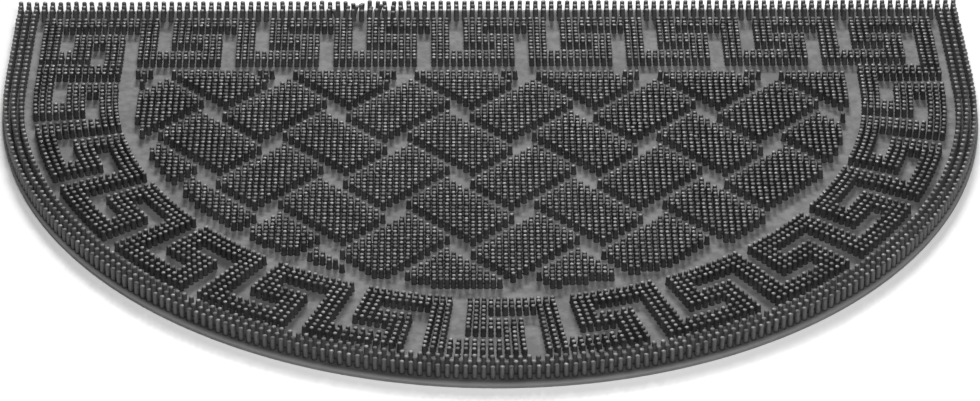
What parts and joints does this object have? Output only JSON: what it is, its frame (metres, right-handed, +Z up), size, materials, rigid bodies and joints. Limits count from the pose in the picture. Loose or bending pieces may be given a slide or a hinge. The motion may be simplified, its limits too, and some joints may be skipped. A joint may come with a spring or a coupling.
{
  "type": "half round rubber doormat",
  "caption": "Half round rubber pin doormat: a thin D-shaped sheet with standing pins in a raised rim, a stepped key border and a basket weave field.",
  "frame": {"origin": "under the middle of the mat, on the surface it lies on", "axes": "+X along the straight back edge, +Y from the round front towards the straight back edge, +Z up"},
  "size_m": [0.6, 0.4, 0.01],
  "materials": {
    "rubber": "matte moulded, dark grey"
  },
  "bodies": {
    "root": {"rubber_mat": "rubber"}
  },
  "joints": []
}
